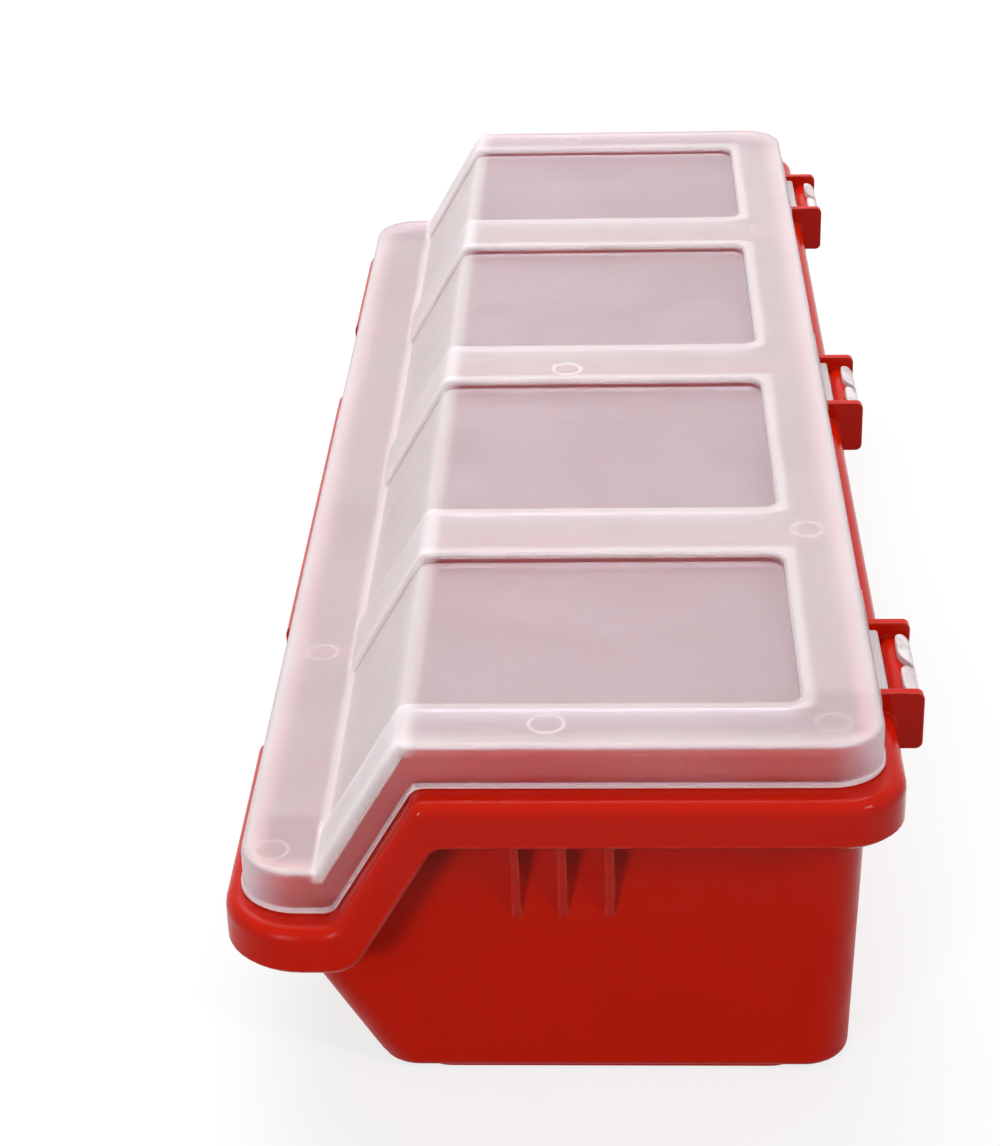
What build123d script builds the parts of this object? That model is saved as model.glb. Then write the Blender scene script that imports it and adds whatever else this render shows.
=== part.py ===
from build123d import *
from math import atan2, cos, hypot, pi, sin, sqrt, tan
import os

# Screw organizer box: a red four-compartment tray with a low slanted front, and a
# clear frosted lid that clips on three hinge bars moulded into the tray's rear rim.
# Two mouldings. Millimetres; X runs along the box, -Y is the low front, +Z is up.
# The origin is under the middle of the closed box, on the face that it stands on.

# Overall sizes
LENGTH = 310.0  # rim, end to end
RIM_DEPTH = 106.0  # rim, front lip to rear edge
RIM_HEIGHT = 57.5  # top of the rim at the rear, above the table
DROP = 22.65  # how much lower the rim is at the front lip
SHELF = 18.0  # depth of the low front part of the rim
SLOPE_RUN = 13.4  # depth of the sloping part of the rim

# Tray walls
WALL = 1.8
FLOOR = 1.8
END_INSET = 11.1  # rim end to the foot of the end wall
REAR_INSET = 6.5  # rim's rear edge to the foot of the rear wall
FRONT_INSET = 23.5  # rim's front edge to the foot of the slanted front wall
CORNER_R = 7.5  # upright corners of the tray
FRONT_FOOT_R = 10.0  # roll of the front wall into the bottom
BOTTOM_R = 1.5

# Foot ring
FOOT = 0.8
FOOT_WIDTH = 2.4
FOOT_R = 6.0
FOOT_REAR_INSET = 7.0  # foot of the rear wall to the ring

# Compartments
DIVIDER_PITCH = 76.3
DIVIDER = 1.6  # at the rim
DIVIDER_DRAFT = 0.5  # degrees
POCKET_SCOOP = 0.5  # how much the rear roll is larger than the tray's inner corners

# Rim
RIM_PLATE = 1.8
RIM_SKIRT = 7.9  # rim top to the skirt's lower edge, on the level parts
RIM_SKIRT_SLOPE = 6.4  # the same, square to the slope
SKIRT_WALL = 1.6
RIM_REAR_R = 10.5
RIM_FRONT_R = 13.0
RIM_EDGE_R = 2.2
SKIRT_BEVEL = 0.6  # bevel on the skirt's lower edge
FOLD_LOW_R = 3.0
FOLD_HIGH_R = 2.5
SKIRT_FOLD_R = 6.0

# Upstand that the lid closes over; the dividers have the same top
LIP_RISE = 5.0  # above the rim
LIP_RISE_SLOPE = 4.0
LIP_FOLD_R = 1.0

# Gussets under the rim at each end
GUSSET = 1.35
GUSSET_PITCH = 7.3
GUSSET_COUNT = 3
GUSSET_OFFSET = -1.75  # middle gusset from the middle of the box
GUSSET_REACH = 3.2  # rim end to the gusset's outer edge
GUSSET_DEEP = 9.0  # rim top to where the outer edge starts to lean in
GUSSET_LENGTH = 26.0  # rim top to where the gusset runs out

# Lid
LID_WALL = 1.3
LID_RISE = 7.5  # rim top to lid top, on the level parts
LID_RISE_SLOPE = 6.2
LID_END_INSET = 5.15
LID_REAR_INSET = 3.3
LID_FRONT_INSET = 2.7
LID_REAR_R = 8.5
LID_FRONT_R = 9.5
LID_EDGE_R = 1.2
LID_FOLD_R = 2.2  # crest of the slope
LID_SEAT_GAP = 0.3  # lid edge to rim
LIP_GAP = 0.5  # upstand to lid wall
BEAD = 0.35  # bead along the lid's lower edge
BEAD_HEIGHT = 0.6

# Sunk windows of the lid
WINDOW_SINK = 1.7  # straight down, on the slope too
BAR_WIDTH = 18.5  # raised bar between two windows
WINDOW_END_MARGIN = 13.6
WINDOW_REAR_MARGIN = 12.3
WINDOW_R = 3.0
WINDOW_BEVEL = 0.6  # bevelled top edge round a window

# Hinges
HINGE_PITCH = 114.5
HINGE_COUNT = 3
AXIS_OUT = 1.25  # hinge axis behind the rim's rear edge
AXIS_DROP = 1.0  # hinge axis below the rim top
BAR_R = 2.1
BAR_FIT = 0.08  # running clearance of the clip on its bar
CLIP_WALL = 1.12
CLIP_LENGTH = 20.0
CLIP_END_GAP = 0.9
CLIP_ARM_RISE = 2.5  # top of the clip's arm above the rim
CLIP_STOP = 20.0  # degrees round the bar to the clip's edge, from level at the rear
CLIP_LOBE = 9.3  # length of one of the clip's two lobes
LOBE_REACH = 0.4  # tips of the lobes behind the middle of the bar
LOBE_R = 2.4
SWING_GAP = 0.4  # least gap between the moving clip and the rim
EAR = 1.6
EAR_RISE = 3.3  # above the rim top
EAR_DROP = 6.7  # below the rim top
EAR_REACH = 3.2  # behind the hinge axis
EAR_LID_GAP = 0.45
EAR_R = 1.2
PAD = 0.4  # thickened lid wall at each hinge
PAD_LENGTH = 38.0
PAD_RISE = 5.0

# Latch tabs, in line with the outer dividers
TAB_WIDTH = 42.0
TAB_WALL = 1.1
TAB_PROUD = 0.4  # in front of the lid wall
TAB_RISE = 2.5  # above the rim
TAB_DROP = 7.6  # below the rim
TAB_CORNER_R = 3.0
TAB_GAP = 0.5
TAB_SNAP = 0.2
TAB_SNAP_HEIGHT = 1.2

# Places worked out from the sizes above
SLOPE = atan2(DROP, SLOPE_RUN)
CLIP_BORE = BAR_R + BAR_FIT
CLIP_R = CLIP_BORE + CLIP_WALL
DEPTH = RIM_DEPTH + AXIS_OUT + CLIP_R
END = LENGTH / 2
FRONT = -DEPTH / 2
REAR = FRONT + RIM_DEPTH
FOLD_LOW = FRONT + SHELF
FOLD_HIGH = FOLD_LOW + SLOPE_RUN
LIP_HEIGHT = RIM_HEIGHT - DROP
TALL = RIM_HEIGHT + 4 * LID_RISE
LID_END = END - LID_END_INSET
LID_FRONT = FRONT + LID_FRONT_INSET
LID_REAR = REAR - LID_REAR_INSET
LIP_END = LID_END - LID_WALL - LIP_GAP
LIP_FRONT = LID_FRONT + LID_WALL + LIP_GAP
LIP_REAR = LID_REAR - LID_WALL - LIP_GAP
PLATE_FRONT_Z = LIP_HEIGHT - RIM_PLATE
FRONT_LEAN = atan2(PLATE_FRONT_Z, FRONT + FRONT_INSET - LIP_FRONT)
AXIS_Y = REAR + AXIS_OUT
AXIS_Z = RIM_HEIGHT - AXIS_DROP
EAR_FRONT = LID_REAR + PAD + EAR_LID_GAP
EAR_MIDDLE = CLIP_LENGTH / 2 + CLIP_END_GAP + EAR / 2
DIVIDERS = [-DIVIDER_PITCH, 0.0, DIVIDER_PITCH]
HINGES = [(i - (HINGE_COUNT - 1) / 2) * HINGE_PITCH for i in range(HINGE_COUNT)]
SIDES = (-1, 1)


def rounded(points, radii):
    """Flat outline through the points, with the corners named in radii rounded."""
    sheet = make_face(Polyline(*points, close=True))
    for index, radius in radii.items():
        corner = sheet.vertices().sort_by_distance((*points[index], 0))[0]
        sheet = fillet(corner, radius)
    return sheet


def along_x(sheet, length, middle=0.0):
    """Side outline in y and z, drawn out along the box."""
    return Pos(middle, 0, 0) * extrude(Plane.YZ * sheet, length / 2, both=True)


def block(x, y, z):
    """Block between two values on each axis."""
    size = (x[1] - x[0], y[1] - y[0], z[1] - z[0])
    return Pos(x[0], y[0], z[0]) * Box(*size, align=Align.MIN)


def plan(half_length, front, rear, front_r, rear_r):
    """Level outline with its own corner radii at the front and the rear."""
    sheet = Pos(0, (front + rear) / 2) * Rectangle(2 * half_length, rear - front)
    sheet = fillet(sheet.vertices().group_by(Axis.Y)[0], front_r)
    return fillet(sheet.vertices().group_by(Axis.Y)[-1], rear_r)


def fold(base_y, base_z, rise, slope_rise):
    """Point where a level raised by rise meets the slope raised by slope_rise."""
    return (base_y + rise / tan(SLOPE) - slope_rise / sin(SLOPE), base_z + rise)


def under(rise, slope_rise, high_r, low_r=None):
    """Everything below a stepped surface parallel to the rim's top; its foot may be sharp."""
    low = fold(FOLD_LOW, LIP_HEIGHT, rise, slope_rise)
    high = fold(FOLD_HIGH, RIM_HEIGHT, rise, slope_rise)
    front, rear = FRONT - LENGTH, REAR + LENGTH
    points = [(front, -TALL), (front, low[1]), low, high, (rear, high[1]), (rear, -TALL)]
    radii = {3: high_r, 2: low_r} if low_r else {3: high_r}
    return along_x(rounded(points, radii), 2 * LENGTH)


def stepped_edges(body, rise):
    """Outer edges of a stepped face that lies `rise` above the rim's top."""
    found = []
    for edge in body.edges():
        middle = edge.center()
        share = max(0, min(1, (middle.Y - FOLD_LOW) / SLOPE_RUN))
        level = LIP_HEIGHT + share * DROP + rise
        span = abs(edge.vertices()[0].X - edge.vertices()[-1].X)
        inside = FRONT + SHELF / 2 < middle.Y < REAR - RIM_REAR_R
        if abs(middle.Z - level) < RIM_SKIRT / 3 and not (inside and span > LENGTH / 2):
            found.append(edge)
    return found


def wall_end(z):
    """Outer face of the end walls at a height."""
    share = (z - FOOT) / (RIM_HEIGHT + LIP_RISE - FOOT)
    return END - END_INSET + share * (LIP_END - END + END_INSET)


def wall_rear(z):
    """Outer face of the rear wall at a height."""
    share = (z - FOOT) / (RIM_HEIGHT + LIP_RISE - FOOT)
    return REAR - REAR_INSET + share * (LIP_REAR - REAR + REAR_INSET)


def wall_front(z):
    """Outer face of the slanted front wall, upright above the rim plate."""
    return FRONT + FRONT_INSET - min(z, PLATE_FRONT_Z) / tan(FRONT_LEAN)


def tub():
    """Solid outer body of the tray below and inside the rim."""
    sheets = [
        Pos(0, 0, z) * plan(wall_end(z), wall_front(z), wall_rear(z), CORNER_R, CORNER_R)
        for z in (FOOT, PLATE_FRONT_Z, TALL)
    ]
    body = loft(sheets, ruled=True)
    body = fillet(body.edges().group_by(Axis.Z)[0], BOTTOM_R)
    return (body & under(LIP_RISE, LIP_RISE_SLOPE, LIP_FOLD_R, LIP_FOLD_R)) - foot_roll()


def foot_roll():
    """What the roll between the front wall and the bottom takes off the corner."""
    lean = FRONT_LEAN
    corner_y = wall_front(FOOT)
    reach = FRONT_FOOT_R * tan(lean / 2)
    on_floor = (corner_y + reach, FOOT)
    on_wall = (corner_y - reach * cos(lean), FOOT + reach * sin(lean))
    middle = (
        on_floor[0] - FRONT_FOOT_R * sin(lean / 2),
        FOOT + FRONT_FOOT_R * (1 - cos(lean / 2)),
    )
    outside = (corner_y - FRONT_FOOT_R, FOOT - FRONT_FOOT_R / 2)
    edges = ThreePointArc(on_floor, middle, on_wall) + Polyline(on_wall, outside, on_floor)
    return along_x(make_face(edges), LENGTH)


def compartment(left, right, round_sides):
    """Inside of one compartment; left and right give its side walls' x at a height."""
    low, lip = FOOT + FLOOR, LIP_FRONT + WALL
    foot_y = wall_front(low) + WALL / sin(FRONT_LEAN)
    bend_z = low + (foot_y - lip) * tan(FRONT_LEAN)
    points = [
        (foot_y, low),
        (wall_rear(low) - WALL, low),
        (wall_rear(TALL) - WALL, TALL),
        (lip, TALL),
        (lip, bend_z),
    ]
    scoop = CORNER_R - WALL + POCKET_SCOOP
    radii = {0: FRONT_FOOT_R - WALL, 1: scoop, 4: scoop}
    hollow = along_x(rounded(points, radii), LENGTH)
    sides = [(left(0), 0), (right(0), 0), (right(2 * TALL), 2 * TALL), (left(2 * TALL), 2 * TALL)]
    wedge = extrude(Plane.XZ * make_face(Polyline(*sides, close=True)), DEPTH, both=True)
    hollow &= wedge
    for side_x in round_sides:
        edges = [
            edge
            for edge in hollow.edges()
            if abs(edge.center().X - side_x(edge.center().Z)) < WALL / 4 and edge.center().Z < TALL
        ]
        hollow = fillet(edges, CORNER_R - WALL)
    return hollow


def compartments():
    """The four hollows, with the dividers left standing between them."""
    lean = tan(DIVIDER_DRAFT * pi / 180)

    def divider_face(middle, side):
        return lambda z: middle + side * (DIVIDER / 2 + (RIM_HEIGHT - z) * lean)

    lefts = [lambda z: WALL - wall_end(z)] + [divider_face(x, 1) for x in DIVIDERS]
    rights = [divider_face(x, -1) for x in DIVIDERS] + [lambda z: wall_end(z) - WALL]
    ends = (lefts[0], rights[-1])
    return [
        compartment(left, right, [side_x for side_x in (left, right) if side_x in ends])
        for left, right in zip(lefts, rights)
    ]


def rim():
    """Level and sloping rim plate with the skirt that hangs from it."""
    band = extrude(plan(END, FRONT, REAR, RIM_FRONT_R, RIM_REAR_R), TALL)
    band &= under(0, 0, FOLD_HIGH_R, FOLD_LOW_R)
    band -= under(-RIM_SKIRT, -RIM_SKIRT_SLOPE, FOLD_HIGH_R, SKIRT_FOLD_R)
    band = fillet(stepped_edges(band, 0), RIM_EDGE_R)
    band = chamfer(stepped_edges(band, -RIM_SKIRT), SKIRT_BEVEL)
    inner = plan(
        END - SKIRT_WALL,
        FRONT + SKIRT_WALL,
        REAR - SKIRT_WALL,
        RIM_FRONT_R - SKIRT_WALL,
        RIM_REAR_R - SKIRT_WALL,
    )
    return band - (extrude(inner, TALL) & under(-RIM_PLATE, -RIM_PLATE, FOLD_HIGH_R, FOLD_LOW_R))


def gussets():
    """Thin fins between the end walls and the underside of the rim."""
    fins = []
    run_out = RIM_HEIGHT - GUSSET_LENGTH
    for side in SIDES:
        points = [
            (wall_end(run_out) - WALL / 2, run_out),
            (wall_end(run_out), run_out),
            (END - GUSSET_REACH, RIM_HEIGHT - GUSSET_DEEP),
            (END - GUSSET_REACH, RIM_HEIGHT - RIM_PLATE / 2),
            (wall_end(RIM_HEIGHT) - WALL / 2, RIM_HEIGHT - RIM_PLATE / 2),
        ]
        sheet = Plane.XZ * make_face(Polyline(*[(side * x, z) for x, z in points], close=True))
        for i in range(GUSSET_COUNT):
            y = GUSSET_OFFSET + (i - (GUSSET_COUNT - 1) / 2) * GUSSET_PITCH
            fins.append(Pos(0, y, 0) * extrude(sheet, GUSSET / 2, both=True))
    return fins


def foot_ring():
    """Low ring under the bottom that the box stands on."""
    front = wall_front(FOOT) + FRONT_FOOT_R * tan(FRONT_LEAN / 2)
    rear = wall_rear(FOOT) - FOOT_REAR_INSET
    half = wall_end(FOOT) - BOTTOM_R
    outer = plan(half, front, rear, FOOT_R, FOOT_R)
    inner_r = FOOT_R - FOOT_WIDTH
    inner = plan(half - FOOT_WIDTH, front + FOOT_WIDTH, rear - FOOT_WIDTH, inner_r, inner_r)
    return extrude(outer - inner, FOOT + FLOOR / 2)


def ear(x):
    """One of the two ears that carry a hinge bar."""
    top, low, back = RIM_HEIGHT + EAR_RISE, RIM_HEIGHT - EAR_DROP, AXIS_Y + EAR_REACH
    points = [(EAR_FRONT, low), (back, low), (back, top), (EAR_FRONT, top)]
    return along_x(rounded(points, {1: EAR_R, 2: EAR_R}), EAR, x)


def hinge_bar(x):
    """Round bar between two ears."""
    circle = Pos(AXIS_Y, AXIS_Z) * Circle(BAR_R)
    return along_x(circle, 2 * EAR_MIDDLE, x)


def hinge_notch(x):
    """Gap in the rim that a clip swings in."""
    half = EAR_MIDDLE
    front = AXIS_Y - CLIP_R - SWING_GAP
    return block((x - half, x + half), (front, REAR + EAR), (0, TALL))


def latch_notch(x):
    """Gap in the front lip that a latch tab passes down through."""
    half = TAB_WIDTH / 2 + TAB_GAP
    rear = LID_FRONT - TAB_PROUD + TAB_WALL + TAB_GAP
    return block((x - half, x + half), (FRONT - EAR, rear), (0, LIP_HEIGHT + RIM_PLATE))


def tray():
    """Red tray: tub, rim, dividers, gussets, foot ring and hinge bars, one moulding."""
    latches = [latch_notch(x) for x in (DIVIDERS[0], DIVIDERS[-1])]
    frame = rim() - latches - [hinge_notch(x) for x in HINGES]
    ears = [ear(x + side * EAR_MIDDLE) for x in HINGES for side in SIDES]
    body = tub() + frame + gussets() + foot_ring() + ears
    body -= compartments()
    return body + [hinge_bar(x) for x in HINGES]


def window(middle, half, grow):
    """Sunk window of the lid, with its sides moved out and its face down by grow."""
    slope_rise = LID_RISE_SLOPE - WINDOW_SINK * cos(SLOPE) - grow
    low = fold(FOLD_LOW, LIP_HEIGHT, LID_RISE - grow, slope_rise)
    high = fold(FOLD_HIGH, RIM_HEIGHT, LID_RISE - WINDOW_SINK - grow, slope_rise)
    front, rear = low[0] - LID_RISE, LID_REAR - WINDOW_REAR_MARGIN + grow
    points = [(front, low[1]), low, high, (rear, high[1]), (rear, TALL), (front, TALL)]
    hollow = along_x(rounded(points, {2: LID_FOLD_R - grow}), 2 * (half + grow), middle)
    corners = hollow.edges().filter_by(Axis.Z).group_by(Axis.Y)[-1]
    return fillet(corners, WINDOW_R + grow)


def windows(grow):
    """The four windows."""
    outer = LID_END - WINDOW_END_MARGIN
    lefts = [-outer] + [x + BAR_WIDTH / 2 for x in DIVIDERS]
    rights = [x - BAR_WIDTH / 2 for x in DIVIDERS] + [outer]
    return [window((a + b) / 2, (b - a) / 2, grow) for a, b in zip(lefts, rights)]


def lid_column(grow):
    """Upright column with the lid's outline, moved out by grow."""
    sheet = plan(
        LID_END + grow, LID_FRONT - grow, LID_REAR + grow, LID_FRONT_R + grow, LID_REAR_R + grow
    )
    return extrude(sheet, TALL)


def lid_top():
    """Solid outer body of the lid, with bevelled edges round its windows."""
    body = lid_column(0) & under(LID_RISE, LID_RISE_SLOPE, LID_FOLD_R)
    body = fillet(stepped_edges(body, LID_RISE), LID_EDGE_R) - windows(0)
    top = RIM_HEIGHT + LID_RISE
    edges = [
        edge
        for edge in body.edges()
        if abs(edge.center().Z - top) < WINDOW_BEVEL / 10
        and abs(edge.center().X) < LID_END - LID_REAR_R
        and FOLD_HIGH < edge.center().Y < LID_REAR - LID_REAR_R
    ]
    return chamfer(edges, WINDOW_BEVEL)


def lid_cover():
    """Lid without its clips and tabs."""
    gap = LID_SEAT_GAP
    below = under(gap, gap, FOLD_HIGH_R + gap, FOLD_LOW_R - gap)
    bead_top = gap + BEAD_HEIGHT
    bead = lid_column(BEAD) & under(bead_top, bead_top, FOLD_HIGH_R, FOLD_LOW_R)
    inner = lid_column(-LID_WALL)
    inner &= under(LID_RISE - LID_WALL, LID_RISE_SLOPE - LID_WALL, LID_FOLD_R - LID_WALL)
    inner -= windows(LID_WALL)
    return lid_top() + bead - below - inner


def pad(x):
    """Thicker lid wall round a hinge."""
    half = PAD_LENGTH / 2
    low = RIM_HEIGHT + LID_SEAT_GAP
    return block((x - half, x + half), (LID_REAR - LID_WALL / 2, LID_REAR + PAD), (low, low + PAD_RISE))


def ear_relief(x):
    """Gap in the lid wall that an ear passes as the lid swings up."""
    half = EAR / 2 + SWING_GAP
    corner = hypot(AXIS_Y - EAR_FRONT, RIM_HEIGHT + EAR_RISE - AXIS_Z)
    top = AXIS_Z + sqrt(corner**2 - (AXIS_Y - LID_REAR - PAD) ** 2) + SWING_GAP
    front = LID_REAR - LID_WALL - LIP_GAP / 2
    return block((x - half, x + half), (front, AXIS_Y), (AXIS_Z, top))


def hook(stop, length, x):
    """Part of a clip that goes under the bar and up behind it to an angle."""

    def at(radius, degrees):
        angle = degrees * pi / 180
        return (AXIS_Y + radius * cos(angle), AXIS_Z + radius * sin(angle))

    def arc(radius, start, end):
        return ThreePointArc(at(radius, start), at(radius, (start + end) / 2), at(radius, end))

    end = 360 + stop
    edges = arc(CLIP_R, 180, end) + Line(at(CLIP_R, end), at(CLIP_BORE, end))
    edges += arc(CLIP_BORE, 180, end) + Line(at(CLIP_BORE, 180), at(CLIP_R, 180))
    return along_x(make_face(edges), length, x)


def lobe(x):
    """Round-cornered lobe of a clip, over the rear half of the bar's top."""
    front, rear = AXIS_Y + LOBE_REACH, AXIS_Y + 2 * CLIP_R
    sheet = Pos(x, (front + rear) / 2) * Rectangle(CLIP_LOBE, rear - front)
    sheet = fillet(sheet.vertices().group_by(Axis.Y)[0], LOBE_R)
    return hook(90, CLIP_LOBE, x) & extrude(sheet, TALL)


def clip(x):
    """Clip on the lid: an arm, a hook under the bar, and two lobes over the bar's top."""
    rear, top = AXIS_Y - CLIP_BORE, RIM_HEIGHT + CLIP_ARM_RISE
    low, wall = RIM_HEIGHT + LID_SEAT_GAP, LID_REAR - LID_WALL / 2
    front = AXIS_Y - CLIP_R
    points = [(front, AXIS_Z), (rear, AXIS_Z), (rear, top), (wall, top), (wall, low), (front, low)]
    arm = along_x(rounded(points, {2: CLIP_WALL / 2}), CLIP_LENGTH, x)
    lobes = [lobe(x + side * (CLIP_LENGTH - CLIP_LOBE) / 2) for side in SIDES]
    return arm + hook(CLIP_STOP, CLIP_LENGTH, x) + lobes


def latch_tab(x):
    """Flat tab with a low snap bead that holds the lid's front down."""
    front = LID_FRONT - TAB_PROUD
    rear = front + TAB_WALL
    snap = rear + TAB_SNAP
    snap_top = PLATE_FRONT_Z - TAB_GAP
    snap_low = snap_top - TAB_SNAP_HEIGHT
    points = [
        (front, LIP_HEIGHT - TAB_DROP),
        (rear, LIP_HEIGHT - TAB_DROP),
        (rear, snap_low),
        (snap, (snap_low + snap_top) / 2),
        (rear, snap_top),
        (rear, LIP_HEIGHT + TAB_RISE),
        (LID_FRONT, LIP_HEIGHT + TAB_RISE),
        (front, LIP_HEIGHT + TAB_RISE - TAB_PROUD),
    ]
    tab = along_x(rounded(points, {}), TAB_WIDTH, x)
    corners = tab.edges().filter_by(Axis.Y).group_by(Axis.Z)[0]
    return fillet(corners, TAB_CORNER_R)


def lid():
    """Clear lid with its three clips and two latch tabs, one moulding."""
    cover = lid_cover() + [pad(x) for x in HINGES]
    cover -= [ear_relief(x + side * EAR_MIDDLE) for x in HINGES for side in SIDES]
    cover += [latch_tab(x) for x in (DIVIDERS[0], DIVIDERS[-1])]
    return cover + [clip(x) for x in HINGES]


os.makedirs("parts", exist_ok=True)
export_step(tray(), "parts/tray.step")
export_step(lid(), "parts/lid.step")
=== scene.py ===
import math

import bpy
from mathutils import Matrix, Vector


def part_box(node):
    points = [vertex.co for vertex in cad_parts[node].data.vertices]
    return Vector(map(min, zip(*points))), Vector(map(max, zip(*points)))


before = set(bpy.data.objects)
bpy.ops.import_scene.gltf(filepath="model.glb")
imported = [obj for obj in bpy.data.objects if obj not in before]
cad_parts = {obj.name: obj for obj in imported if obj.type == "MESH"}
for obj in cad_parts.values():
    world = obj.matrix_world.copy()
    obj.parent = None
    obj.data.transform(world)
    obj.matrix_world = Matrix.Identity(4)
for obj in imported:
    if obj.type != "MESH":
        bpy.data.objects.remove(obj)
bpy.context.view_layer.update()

# Screw organizer box: glossy red tray and clear frosted lid, both injection moulded.
# Everything is in metres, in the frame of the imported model. Noise scales are per metre.

MM = 0.001
WHITE = (1, 1, 1, 1)


def mm(*sizes):
    """Sizes in millimetres as a tuple in metres."""
    return tuple(size * MM for size in sizes)


# The photograph's camera, as fitted to the box's corners
PHOTO_HEIGHT = 1146
FOCAL_PIXELS = 2652.0
CAMERA_AT = Vector((0.49146, 0.00685, 0.26865))
CAMERA_YAW = math.radians(2.83)
CAMERA_PITCH = math.radians(27.03)
CAMERA_ROLL = math.radians(-1.61)
CAMERA_CLIP = (0.01, 20.0)
SENSOR = 36.0

# Lamps: place, what they face, size, watts
LAMPS = {
    "top_light": ((-0.42, -0.12, 0.85), (0, 0, 0.03), (0.8, 0.6), 8.0),
    "front_light": ((1.1, -0.60, 0.36), (0, 0, 0.04), (0.3, 0.3), 5.0),
    "side_light": ((0.75, 0.85, 0.75), (0, 0, 0.04), (0.25, 0.25), 3.8),
}
WORLD_LIGHT = 0.45  # 1 where it is seen directly
FLOOR_SIZE = 6.0
FLOOR_BOUNCE = 0.13  # grey that scattered light meets
FLOOR_SHADE = 0.26  # grey that takes the box's shadow
FLOOR_GLOW = (0.745, 0.95)  # near the box and far from it
FLOOR_GLOW_AT = (0.6, 2.0)

# Places on the lid, from the model's box and its moulded sizes
LID_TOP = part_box("lid")[1][2]
LID_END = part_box("lid")[1][0] - 0.35 * MM  # outer face, without the bead below it
LID_REAR = 47.4 * MM
LID_FRONT = -52.6 * MM
CLIP_LOBES = 52.3 * MM  # where the clips' loose ends start
SLOPE_FOOT = (-40.0 * MM, LID_TOP - 22.65 * MM)  # y and z
SLOPE_CREST = (-26.6 * MM, LID_TOP)
RIM_FOOT = mm(-37.3, 34.85)
RIM_CREST = mm(-23.9, 57.5)
WINDOW_REAR = 35.1 * MM
WINDOWS = (mm(38.15, 28.9), mm(110.9, 25.35))  # middle and half length
WINDOW_R = 3.0 * MM

# Where the lid's looks change, each from a start to an end.
# Outside the stepped face through its top:
TOP_FROM = mm(-2.0, -1.8)  # the windows and all above them
CROWN_FROM = mm(-0.6, -0.2)  # the raised frame and bars
END_WALL_UP_TO = mm(-1.6, -0.8)
# Outside a window's outline:
WINDOW_UP_TO = mm(-0.9, -0.5)
# Outside LID_END:
END_FACE_FROM = mm(-0.9, -0.4)
BARS_FROM = mm(-14.0, -18.0)
# In from the lid's edge:
OUTLINE_UP_TO = mm(1.0, 5.5)
# Painted sheen on the lid's rounded corners, from here in
CORNER_SHEEN_FROM = mm(9.0, 4.0)
# Away from the lid's middle:
END_FACE_UP_TO = mm(38.0, 43.0)
# Across a plane, as the depth of the change:
FOOT_BLEND = 1.0 * MM
CREST_BLEND = 1.0 * MM
PLANE_BLEND = 0.5 * MM
CLIPS_FROM = 0.2 * MM  # behind LID_REAR

# Narrow bands on the lid: half width, or middle and half width
FOLD_HALF = 1.8 * MM  # round a window's outline
REAR_WALL_HALF = 1.3 * MM
BORDER_MIDDLE = 1.3 * MM  # outside the outline
# Painted highlight along the crest fold
CREST_HIGHLIGHT_BAND = mm(0.6, 3.0)  # behind the crest
# Painted highlight along the lid's bottom edge, above the rim
LIP_HIGHLIGHT_BAND = mm(0.3, 0.45)  # above the rim

# How much milkiness each place adds: a total of 0 is clear and 1 is opaque. On the slope, the
# crest, the rounded corners and the lip it is painted light.
HAZE_ALL = 0.02
HAZE_WINDOW = 0.05
HAZE_REAR_WALL = 0.14
HAZE_BAR = 0.09
HAZE_BAR_SLOPE = 0.2  # less on the slope
HAZE_FRAME = 0.13
HAZE_BORDER = 0.24
HAZE_OUTLINE = 0.16
# Painted light: milkiness that makes the slope paler, standing in for light falling on it
SLOPE_PAINTED_LIGHT = 0.36
# Painted highlight along the crest fold
CREST_PAINTED_HIGHLIGHT = 0.30
# Painted sheen on the rounded corners
CORNER_PAINTED_SHEEN = 0.18
HAZE_FRONT = 0.03  # less in front of the slope
HAZE_CLIP = 0.38
HAZE_LOBE = (-0.1, 0.4)
# Painted highlight along the lid's bottom edge
LIP_PAINTED_HIGHLIGHT = 0.7
HAZE_DRIFT = (-0.015, 0.015)
LOBE_SCALE = 420.0
LOBE_DETAIL = 2.0
LOBE_PATCHES = (0.4, 0.6)
DRIFT_SCALE = 35.0

# Round marks of the mould: x and y in millimetres and milkiness; both ends have the pins' marks
EJECTOR_MARKS = (
    (143.2, -4.0, 0.30),
    (143.0, 39.5, 0.16),
    (76.6, 40.0, 0.22),
    (143.2, -47.5, 0.18),
    (79.0, -45.5, 0.22),
)
GATE_MARK = (3.8, -2.8, 0.45)
MARK_R = 2.7 * MM
MARK_HALF = 0.5 * MM

# Both plastics
PLASTIC_IOR = 1.49
NOISE_MIDDLE = (0.3, 0.7)  # the part of the noise's range that shows
EDGE_R = 0.35 * MM  # softens the moulded edges
BEVEL_SAMPLES = 4

# Red plastic of the tray
RED = ((0.54, 0.009, 0.001), (0.59, 0.011, 0.0015))
RED_SCALE = 28.0
RED_SATIN = (0.36, 0.44)  # roughness
RED_SATIN_SCALE = 260.0
RED_SPECULAR = 0.1
RIM_POLISH = 0.27  # less roughness
RIM_POLISH_AT = mm(20.0, 52.0)  # height
# Painted highlight: lighter red in patches along the sharp edges
EDGE_HIGHLIGHT_COLOUR = (0.72, 0.10, 0.07)
EDGE_HIGHLIGHT_SHARE = 0.7
EDGE_HIGHLIGHT_R = 0.5 * MM
EDGE_HIGHLIGHT_BEND = (0.99, 0.9)  # cosine between the rounded normal and the face's own
EDGE_HIGHLIGHT_SCALE = 240.0
EDGE_HIGHLIGHT_PATCHES = (0.3, 0.6)
RED_FLOW_SCALE = 45.0
RED_FLOW_DETAIL = 1.0
RED_FLOW_BUMP = (0.25, 0.3 * MM)  # strength and distance
RED_GRAIN_SCALE = 1900.0
RED_GRAIN_DETAIL = 2.0
RED_GRAIN_BUMP = (0.08, 0.05 * MM)

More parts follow.
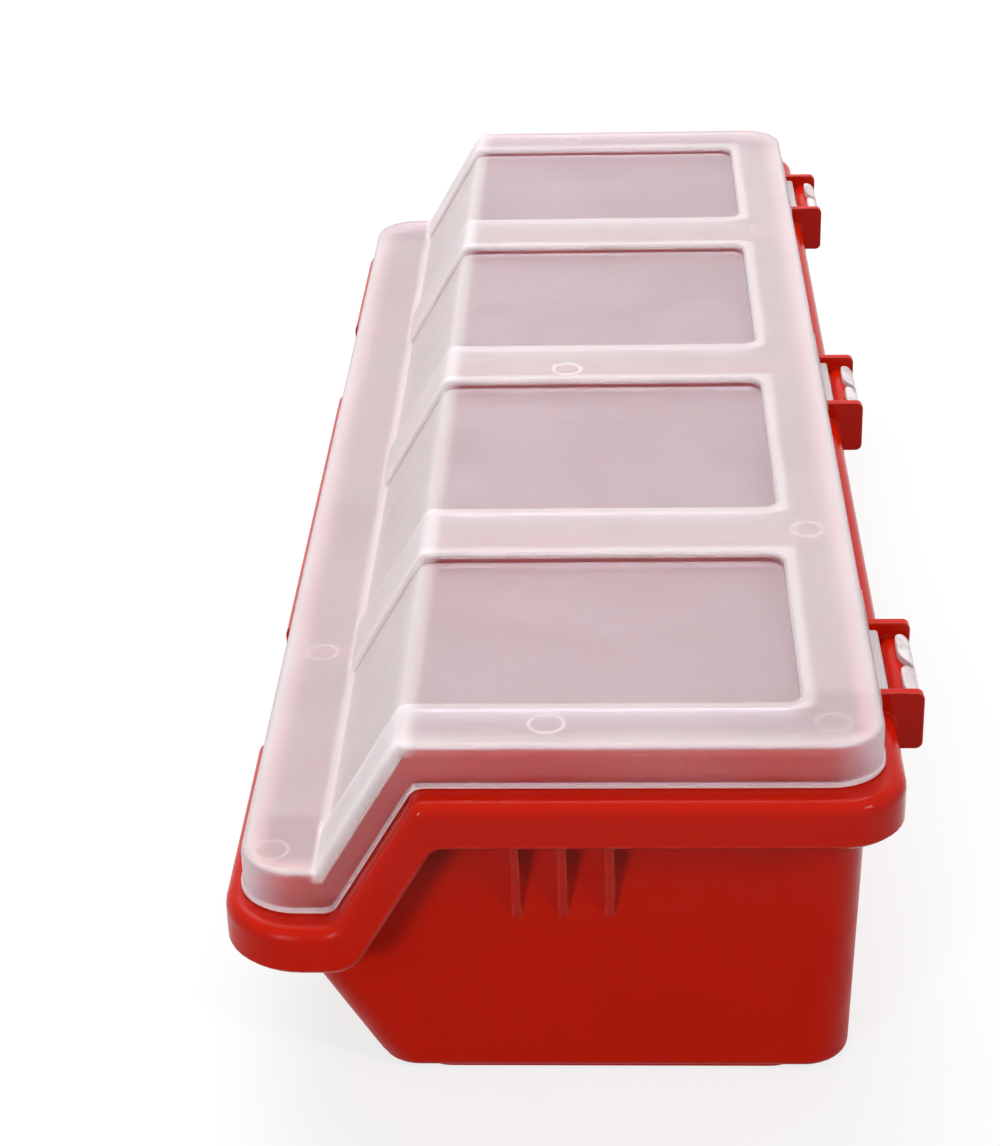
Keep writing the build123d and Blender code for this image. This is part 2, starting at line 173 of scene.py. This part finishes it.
# Frosted plastic of the lid
FROST = ((0.94, 0.865, 0.93), (0.985, 0.915, 0.925))  # clear and milky
FROST_AT = (0.13, 0.26)  # haze
FROST_ROUGH = (0.40, 0.48)
FROST_ROUGH_SCALE = 120.0
FROST_SPECULAR = 0.35
END_POLISH = 0.2  # less roughness
TORN_SCALE = 320.0
TORN_DETAIL = 2.0
TORN_BUMP = (0.4, 1.2 * MM)
FROST_GRAIN_SCALE = 1800.0
FROST_GRAIN_DETAIL = 2.0
FROST_GRAIN_BUMP = (0.06, 0.1 * MM)


def make_camera():
    """Camera at the photograph's place, looking along the box."""
    up = Vector((0, 0, 1))
    level = Vector((-math.cos(CAMERA_YAW), -math.sin(CAMERA_YAW), 0))
    side = level.cross(up)
    ahead = level * math.cos(CAMERA_PITCH) - up * math.sin(CAMERA_PITCH)
    over = up * math.cos(CAMERA_PITCH) + level * math.sin(CAMERA_PITCH)
    right = side * math.cos(CAMERA_ROLL) + over * math.sin(CAMERA_ROLL)
    top = over * math.cos(CAMERA_ROLL) - side * math.sin(CAMERA_ROLL)
    data = bpy.data.cameras.new("camera")
    data.sensor_width = SENSOR
    data.lens = FOCAL_PIXELS * SENSOR / PHOTO_HEIGHT
    data.clip_start, data.clip_end = CAMERA_CLIP
    camera = bpy.data.objects.new("camera", data)
    turn = Matrix((right, top, -ahead)).transposed()
    camera.matrix_world = Matrix.Translation(CAMERA_AT) @ turn.to_4x4()
    bpy.context.scene.collection.objects.link(camera)
    bpy.context.scene.camera = camera


class Nodes:
    """Short way to build a node tree."""

    def __init__(self, tree):
        self.tree = tree
        tree.nodes.clear()

    def put(self, socket, value):
        if isinstance(value, bpy.types.NodeSocket):
            self.tree.links.new(value, socket)
        else:
            socket.default_value = value

    def add(self, kind, inputs=None, **settings):
        node = self.tree.nodes.new(kind)
        for name, value in settings.items():
            setattr(node, name, value)
        for name, value in (inputs or {}).items():
            self.put(node.inputs[name], value)
        return node

    def math(self, operation, *values):
        return self.add("ShaderNodeMath", dict(enumerate(values)), operation=operation).outputs[0]

    def minus(self, first, second):
        return self.math("SUBTRACT", first, second)

    def size(self, value):
        return self.math("ABSOLUTE", value)

    def least(self, first, second):
        return self.math("MINIMUM", first, second)

    def most(self, first, second):
        return self.math("MAXIMUM", first, second)

    def total(self, first, *others):
        for value in others:
            first = self.math("ADD", first, value)
        return first

    def product(self, first, *others):
        for value in others:
            first = self.math("MULTIPLY", first, value)
        return first

    def ramp(self, value, start, end, low=0.0, high=1.0):
        """Goes smoothly from low to high as the value goes from start to end."""
        inputs = {"Value": value, "From Min": start, "From Max": end, "To Min": low, "To Max": high}
        node = self.add("ShaderNodeMapRange", inputs, interpolation_type="SMOOTHSTEP")
        return node.outputs["Result"]

    def fall(self, value, start, end):
        """Goes smoothly from 1 to 0 as the value goes from start to end."""
        return self.ramp(value, start, end, 1.0, 0.0)

    def pulse(self, value, middle, half):
        """1 at the middle, 0 from half away on."""
        return self.fall(self.size(self.minus(value, middle)), 0.0, half)

    def object_place(self):
        return self.add("ShaderNodeTexCoord").outputs["Object"]

    def place(self):
        """x, y and z on the piece."""
        return self.add("ShaderNodeSeparateXYZ", {0: self.object_place()}).outputs

    def noise(self, scale, detail=3.0):
        inputs = {"Vector": self.object_place(), "Scale": scale, "Detail": detail}
        return self.add("ShaderNodeTexNoise", inputs).outputs["Fac"]

    def patches(self, scale, low=0.0, high=1.0):
        """Noise from low to high."""
        return self.ramp(self.noise(scale), *NOISE_MIDDLE, low, high)

    def blend(self, share, low, high):
        """Colour between low and high."""
        node = self.add("ShaderNodeMix", data_type="RGBA")
        self.put(node.inputs["Factor"], share)
        ends = [socket for socket in node.inputs if socket.type == "RGBA"]
        for socket, colour in zip(ends, (low, high)):
            self.put(socket, (*colour, 1) if isinstance(colour, tuple) else colour)
        return next(socket for socket in node.outputs if socket.type == "RGBA")

    def rounded(self, radius):
        """Normal that rounds the sharp edges."""
        node = self.add("ShaderNodeBevel", {"Radius": radius}, samples=BEVEL_SAMPLES)
        return node.outputs[0]

    def bump(self, height, strength, distance, normal):
        inputs = {"Height": height, "Strength": strength, "Distance": distance, "Normal": normal}
        return self.add("ShaderNodeBump", inputs).outputs[0]

    def surface(self, shader):
        self.add("ShaderNodeOutputMaterial", {"Surface": shader.outputs[0]})


def new_material(name):
    material = bpy.data.materials.new(name)
    material.use_nodes = True
    return material, Nodes(material.node_tree)


def painted_edge_highlight(n):
    """Painted highlight in patches along the sharp edges, where a rounded normal leaves the face's
    own.
    """
    own = n.add("ShaderNodeNewGeometry").outputs["Normal"]
    inputs = {0: n.rounded(EDGE_HIGHLIGHT_R), 1: own}
    same = n.add("ShaderNodeVectorMath", inputs, operation="DOT_PRODUCT").outputs["Value"]
    return n.product(n.ramp(same, *EDGE_HIGHLIGHT_BEND), n.ramp(n.noise(EDGE_HIGHLIGHT_SCALE), *EDGE_HIGHLIGHT_PATCHES))


def red_plastic():
    """Red polypropylene: polished rim, satin tub, painted highlight in patches along the sharp
    edges.
    """
    material, n = new_material("red_plastic")
    rim = n.ramp(n.place()["Z"], *RIM_POLISH_AT)
    even = n.blend(n.noise(RED_SCALE), *RED)
    flow = n.noise(RED_FLOW_SCALE, RED_FLOW_DETAIL)
    grain = n.noise(RED_GRAIN_SCALE, RED_GRAIN_DETAIL)
    wavy = n.bump(flow, *RED_FLOW_BUMP, n.rounded(EDGE_R))
    inputs = {
        # Base colour with a painted highlight along the sharp edges
        "Base Color": n.blend(n.product(painted_edge_highlight(n), EDGE_HIGHLIGHT_SHARE), even, EDGE_HIGHLIGHT_COLOUR),
        "Roughness": n.minus(n.patches(RED_SATIN_SCALE, *RED_SATIN), n.product(rim, RIM_POLISH)),
        "IOR": PLASTIC_IOR,
        "Specular IOR Level": RED_SPECULAR,
        "Normal": n.bump(grain, *RED_GRAIN_BUMP, wavy),
    }
    n.surface(n.add("ShaderNodeBsdfPrincipled", inputs))
    return material


def stepped_distance(n, y, z, foot, crest):
    """Distance outside a stepped face through two folds, negative inside."""
    fall = math.atan2(crest[1] - foot[1], crest[0] - foot[0])
    across = n.product(n.minus(z, foot[1]), math.cos(fall))
    along = n.product(n.minus(y, foot[0]), math.sin(fall))
    lower = n.least(n.minus(across, along), n.minus(z, foot[1]))
    return n.most(lower, n.minus(z, crest[1]))


def window_distance(n, x_size, past_rear):
    """Distance in plan from the nearest window's outline, negative inside."""
    nearest = 1.0
    for middle, half in WINDOWS:
        beside = n.minus(n.size(n.minus(x_size, middle)), half)
        nearest = n.least(nearest, n.math("SMOOTH_MAX", beside, past_rear, WINDOW_R))
    return nearest


def mould_marks(n, x, x_size, y):
    """Thin rings left by the mould's ejector pins and by its gate."""
    rings = 0.0
    places = [(x_size, *mark) for mark in EJECTOR_MARKS] + [(x, *GATE_MARK)]
    for along, at_x, at_y, strength in places:
        dx = n.minus(along, at_x * MM)
        dy = n.minus(y, at_y * MM)
        radius = n.math("SQRT", n.total(n.product(dx, dx), n.product(dy, dy)))
        rings = n.total(rings, n.product(n.pulse(radius, MARK_R, MARK_HALF), strength))
    return rings


def beyond(n, y, start):
    """1 behind a plane across the lid, else 0."""
    return n.ramp(y, start, start + PLANE_BLEND)


def end_walls(n):
    """1 on the lid's two outer end faces, which are smoother than its top, else 0."""
    x, y, z = n.place()
    over = stepped_distance(n, y, z, SLOPE_FOOT, SLOPE_CREST)
    outside = n.ramp(n.size(x), *(LID_END + depth for depth in END_FACE_FROM))
    straight = n.fall(n.size(y), *END_FACE_UP_TO)
    return n.product(outside, straight, n.fall(over, *END_WALL_UP_TO))


def lid_haze_and_painted_light(n):
    """How milky the lid is: clearest on its walls, then in its windows, then on its frame. The same
    sum adds painted light: a paler slope, highlights along the crest and the lip above the rim, and
    a sheen on the rounded corners.
    """
    x, y, z = n.place()
    x_size = n.size(x)
    over = stepped_distance(n, y, z, SLOPE_FOOT, SLOPE_CREST)
    top = n.ramp(over, *TOP_FROM)
    crown = n.ramp(over, *CROWN_FROM)
    behind_foot = n.ramp(y, SLOPE_FOOT[0] - FOOT_BLEND, SLOPE_FOOT[0])
    before_crest = n.fall(y, SLOPE_CREST[0] - CREST_BLEND, SLOPE_CREST[0] + CREST_BLEND)
    slope = n.product(behind_foot, before_crest)
    # Painted highlight along the crest fold
    crest = n.pulse(y, SLOPE_CREST[0] + CREST_HIGHLIGHT_BAND[0], CREST_HIGHLIGHT_BAND[1])

    past_rear = n.minus(y, WINDOW_REAR)
    distance = window_distance(n, x_size, past_rear)
    near_rear = n.pulse(past_rear, 0.0, REAR_WALL_HALF)
    rear_wall = n.product(near_rear, n.pulse(distance, 0.0, FOLD_HALF))
    window = n.product(behind_foot, n.fall(distance, *WINDOW_UP_TO))
    border = n.product(behind_foot, n.pulse(distance, BORDER_MIDDLE, FOLD_HALF))
    bars = n.ramp(x_size, *(LID_END + depth for depth in BARS_FROM))
    bar_haze = n.minus(HAZE_BAR, n.product(slope, HAZE_BAR_SLOPE))

    edge_x = n.minus(LID_END, x_size)
    edge_y = n.least(n.minus(LID_REAR, y), n.minus(y, LID_FRONT))
    outline = n.fall(n.least(edge_x, edge_y), *OUTLINE_UP_TO)
    # Painted sheen on the rounded corners
    corner_sheen = n.ramp(n.total(edge_x, edge_y), *CORNER_SHEEN_FROM)

    clips = beyond(n, y, LID_REAR + CLIPS_FROM)
    lobe_haze = n.ramp(n.noise(LOBE_SCALE, LOBE_DETAIL), *LOBE_PATCHES, *HAZE_LOBE)
    # Painted highlight along the lid's bottom edge, just above the rim
    lip_highlight = n.pulse(stepped_distance(n, y, z, RIM_FOOT, RIM_CREST), *LIP_HIGHLIGHT_BAND)
    return n.total(
        HAZE_ALL,
        n.product(top, window, HAZE_WINDOW),
        n.product(top, rear_wall, HAZE_REAR_WALL),
        n.product(crown, bars, bar_haze),
        n.product(crown, n.minus(1.0, window), HAZE_FRAME),
        n.product(crown, border, HAZE_BORDER),
        n.product(crown, outline, HAZE_OUTLINE),
        # Painted light: the slope made paler, and a highlight behind the crest
        n.product(top, slope, SLOPE_PAINTED_LIGHT),
        n.product(top, crest, CREST_PAINTED_HIGHLIGHT),
        n.product(crown, mould_marks(n, x, x_size, y)),
        # Painted sheen on the rounded corners
        n.product(corner_sheen, CORNER_PAINTED_SHEEN),
        n.product(crown, n.minus(behind_foot, 1.0), HAZE_FRONT),
        n.product(clips, HAZE_CLIP),
        n.product(beyond(n, y, CLIP_LOBES), lobe_haze),
        # Painted highlight along the lid's bottom edge
        n.product(lip_highlight, LIP_PAINTED_HIGHLIGHT),
        n.patches(DRIFT_SCALE, *HAZE_DRIFT),
    )


def frosted_plastic():
    """Clear polypropylene with a milky haze, which also carries painted highlights, a painted sheen
    and a painted paler slope.
    """
    material, n = new_material("frosted_plastic")
    # The haze holds the lid's real milkiness and its painted light, in colour and transmission
    haze = lid_haze_and_painted_light(n)
    textured = n.patches(FROST_ROUGH_SCALE, *FROST_ROUGH)
    torn = n.product(beyond(n, n.place()["Y"], CLIP_LOBES), n.noise(TORN_SCALE, TORN_DETAIL))
    ragged = n.bump(torn, *TORN_BUMP, n.rounded(EDGE_R))
    grain = n.noise(FROST_GRAIN_SCALE, FROST_GRAIN_DETAIL)
    inputs = {
        "Base Color": n.blend(n.ramp(haze, *FROST_AT), *FROST),
        "Roughness": n.minus(textured, n.product(end_walls(n), END_POLISH)),
        "IOR": PLASTIC_IOR,
        "Specular IOR Level": FROST_SPECULAR,
        "Transmission Weight": n.minus(1.0, haze),
        "Normal": n.bump(grain, *FROST_GRAIN_BUMP, ragged),
    }
    n.surface(n.add("ShaderNodeBsdfPrincipled", inputs))
    return material


def set_material(node, material):
    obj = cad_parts[node]
    obj.data.materials.clear()
    obj.data.materials.append(material)


def area_light(name, at, target, size, power):
    data = bpy.data.lights.new(name, "AREA")
    data.shape = "RECTANGLE"
    data.size, data.size_y = size
    data.energy = power
    light = bpy.data.objects.new(name, data)
    aim = (Vector(target) - Vector(at)).to_track_quat("-Z", "Y")
    light.matrix_world = Matrix.Translation(at) @ aim.to_matrix().to_4x4()
    bpy.context.scene.collection.objects.link(light)


def seen_directly(n):
    """1 where a ray comes from the camera, a mirror or through the lid, else 0."""
    rays = n.add("ShaderNodeLightPath").outputs
    seen = rays["Is Camera Ray"]
    for kind in ("Is Glossy Ray", "Is Transmission Ray"):
        seen = n.most(seen, rays[kind])
    return seen


def make_world():
    """White where it is seen, dimmer where it only lights."""
    world = bpy.data.worlds.new("studio")
    bpy.context.scene.world = world
    world.use_nodes = True
    n = Nodes(world.node_tree)
    strength = n.ramp(seen_directly(n), 0.0, 1.0, WORLD_LIGHT, 1.0)
    light = n.add("ShaderNodeBackground", {"Color": WHITE, "Strength": strength})
    n.add("ShaderNodeOutputWorld", {"Surface": light.outputs[0]})


def matt_grey(n, value):
    return n.add("ShaderNodeBsdfDiffuse", {"Color": (value, value, value, 1)}).outputs[0]


def floor_material():
    """Near white to the eye with the box's shadow, a dark grey to scattered light."""
    material, n = new_material("floor")
    away = n.add("ShaderNodeVectorMath", {0: n.object_place()}, operation="LENGTH")
    strength = n.ramp(away.outputs["Value"], *FLOOR_GLOW_AT, *FLOOR_GLOW)
    glow = n.add("ShaderNodeEmission", {"Color": WHITE, "Strength": strength}).outputs[0]
    bright = n.add("ShaderNodeAddShader", {0: matt_grey(n, FLOOR_SHADE), 1: glow}).outputs[0]
    inputs = {0: seen_directly(n), 1: matt_grey(n, FLOOR_BOUNCE), 2: bright}
    n.surface(n.add("ShaderNodeMixShader", inputs))
    return material


def make_studio():
    make_world()
    for name, settings in LAMPS.items():
        area_light(name, *settings)
    bpy.ops.mesh.primitive_grid_add(x_subdivisions=2, y_subdivisions=2, size=FLOOR_SIZE)
    floor = bpy.context.object
    floor.name = "floor"
    floor.data.materials.append(floor_material())


make_camera()
make_studio()
set_material("tray", red_plastic())
set_material("lid", frosted_plastic())
bpy.context.scene.view_settings.view_transform = "Standard"
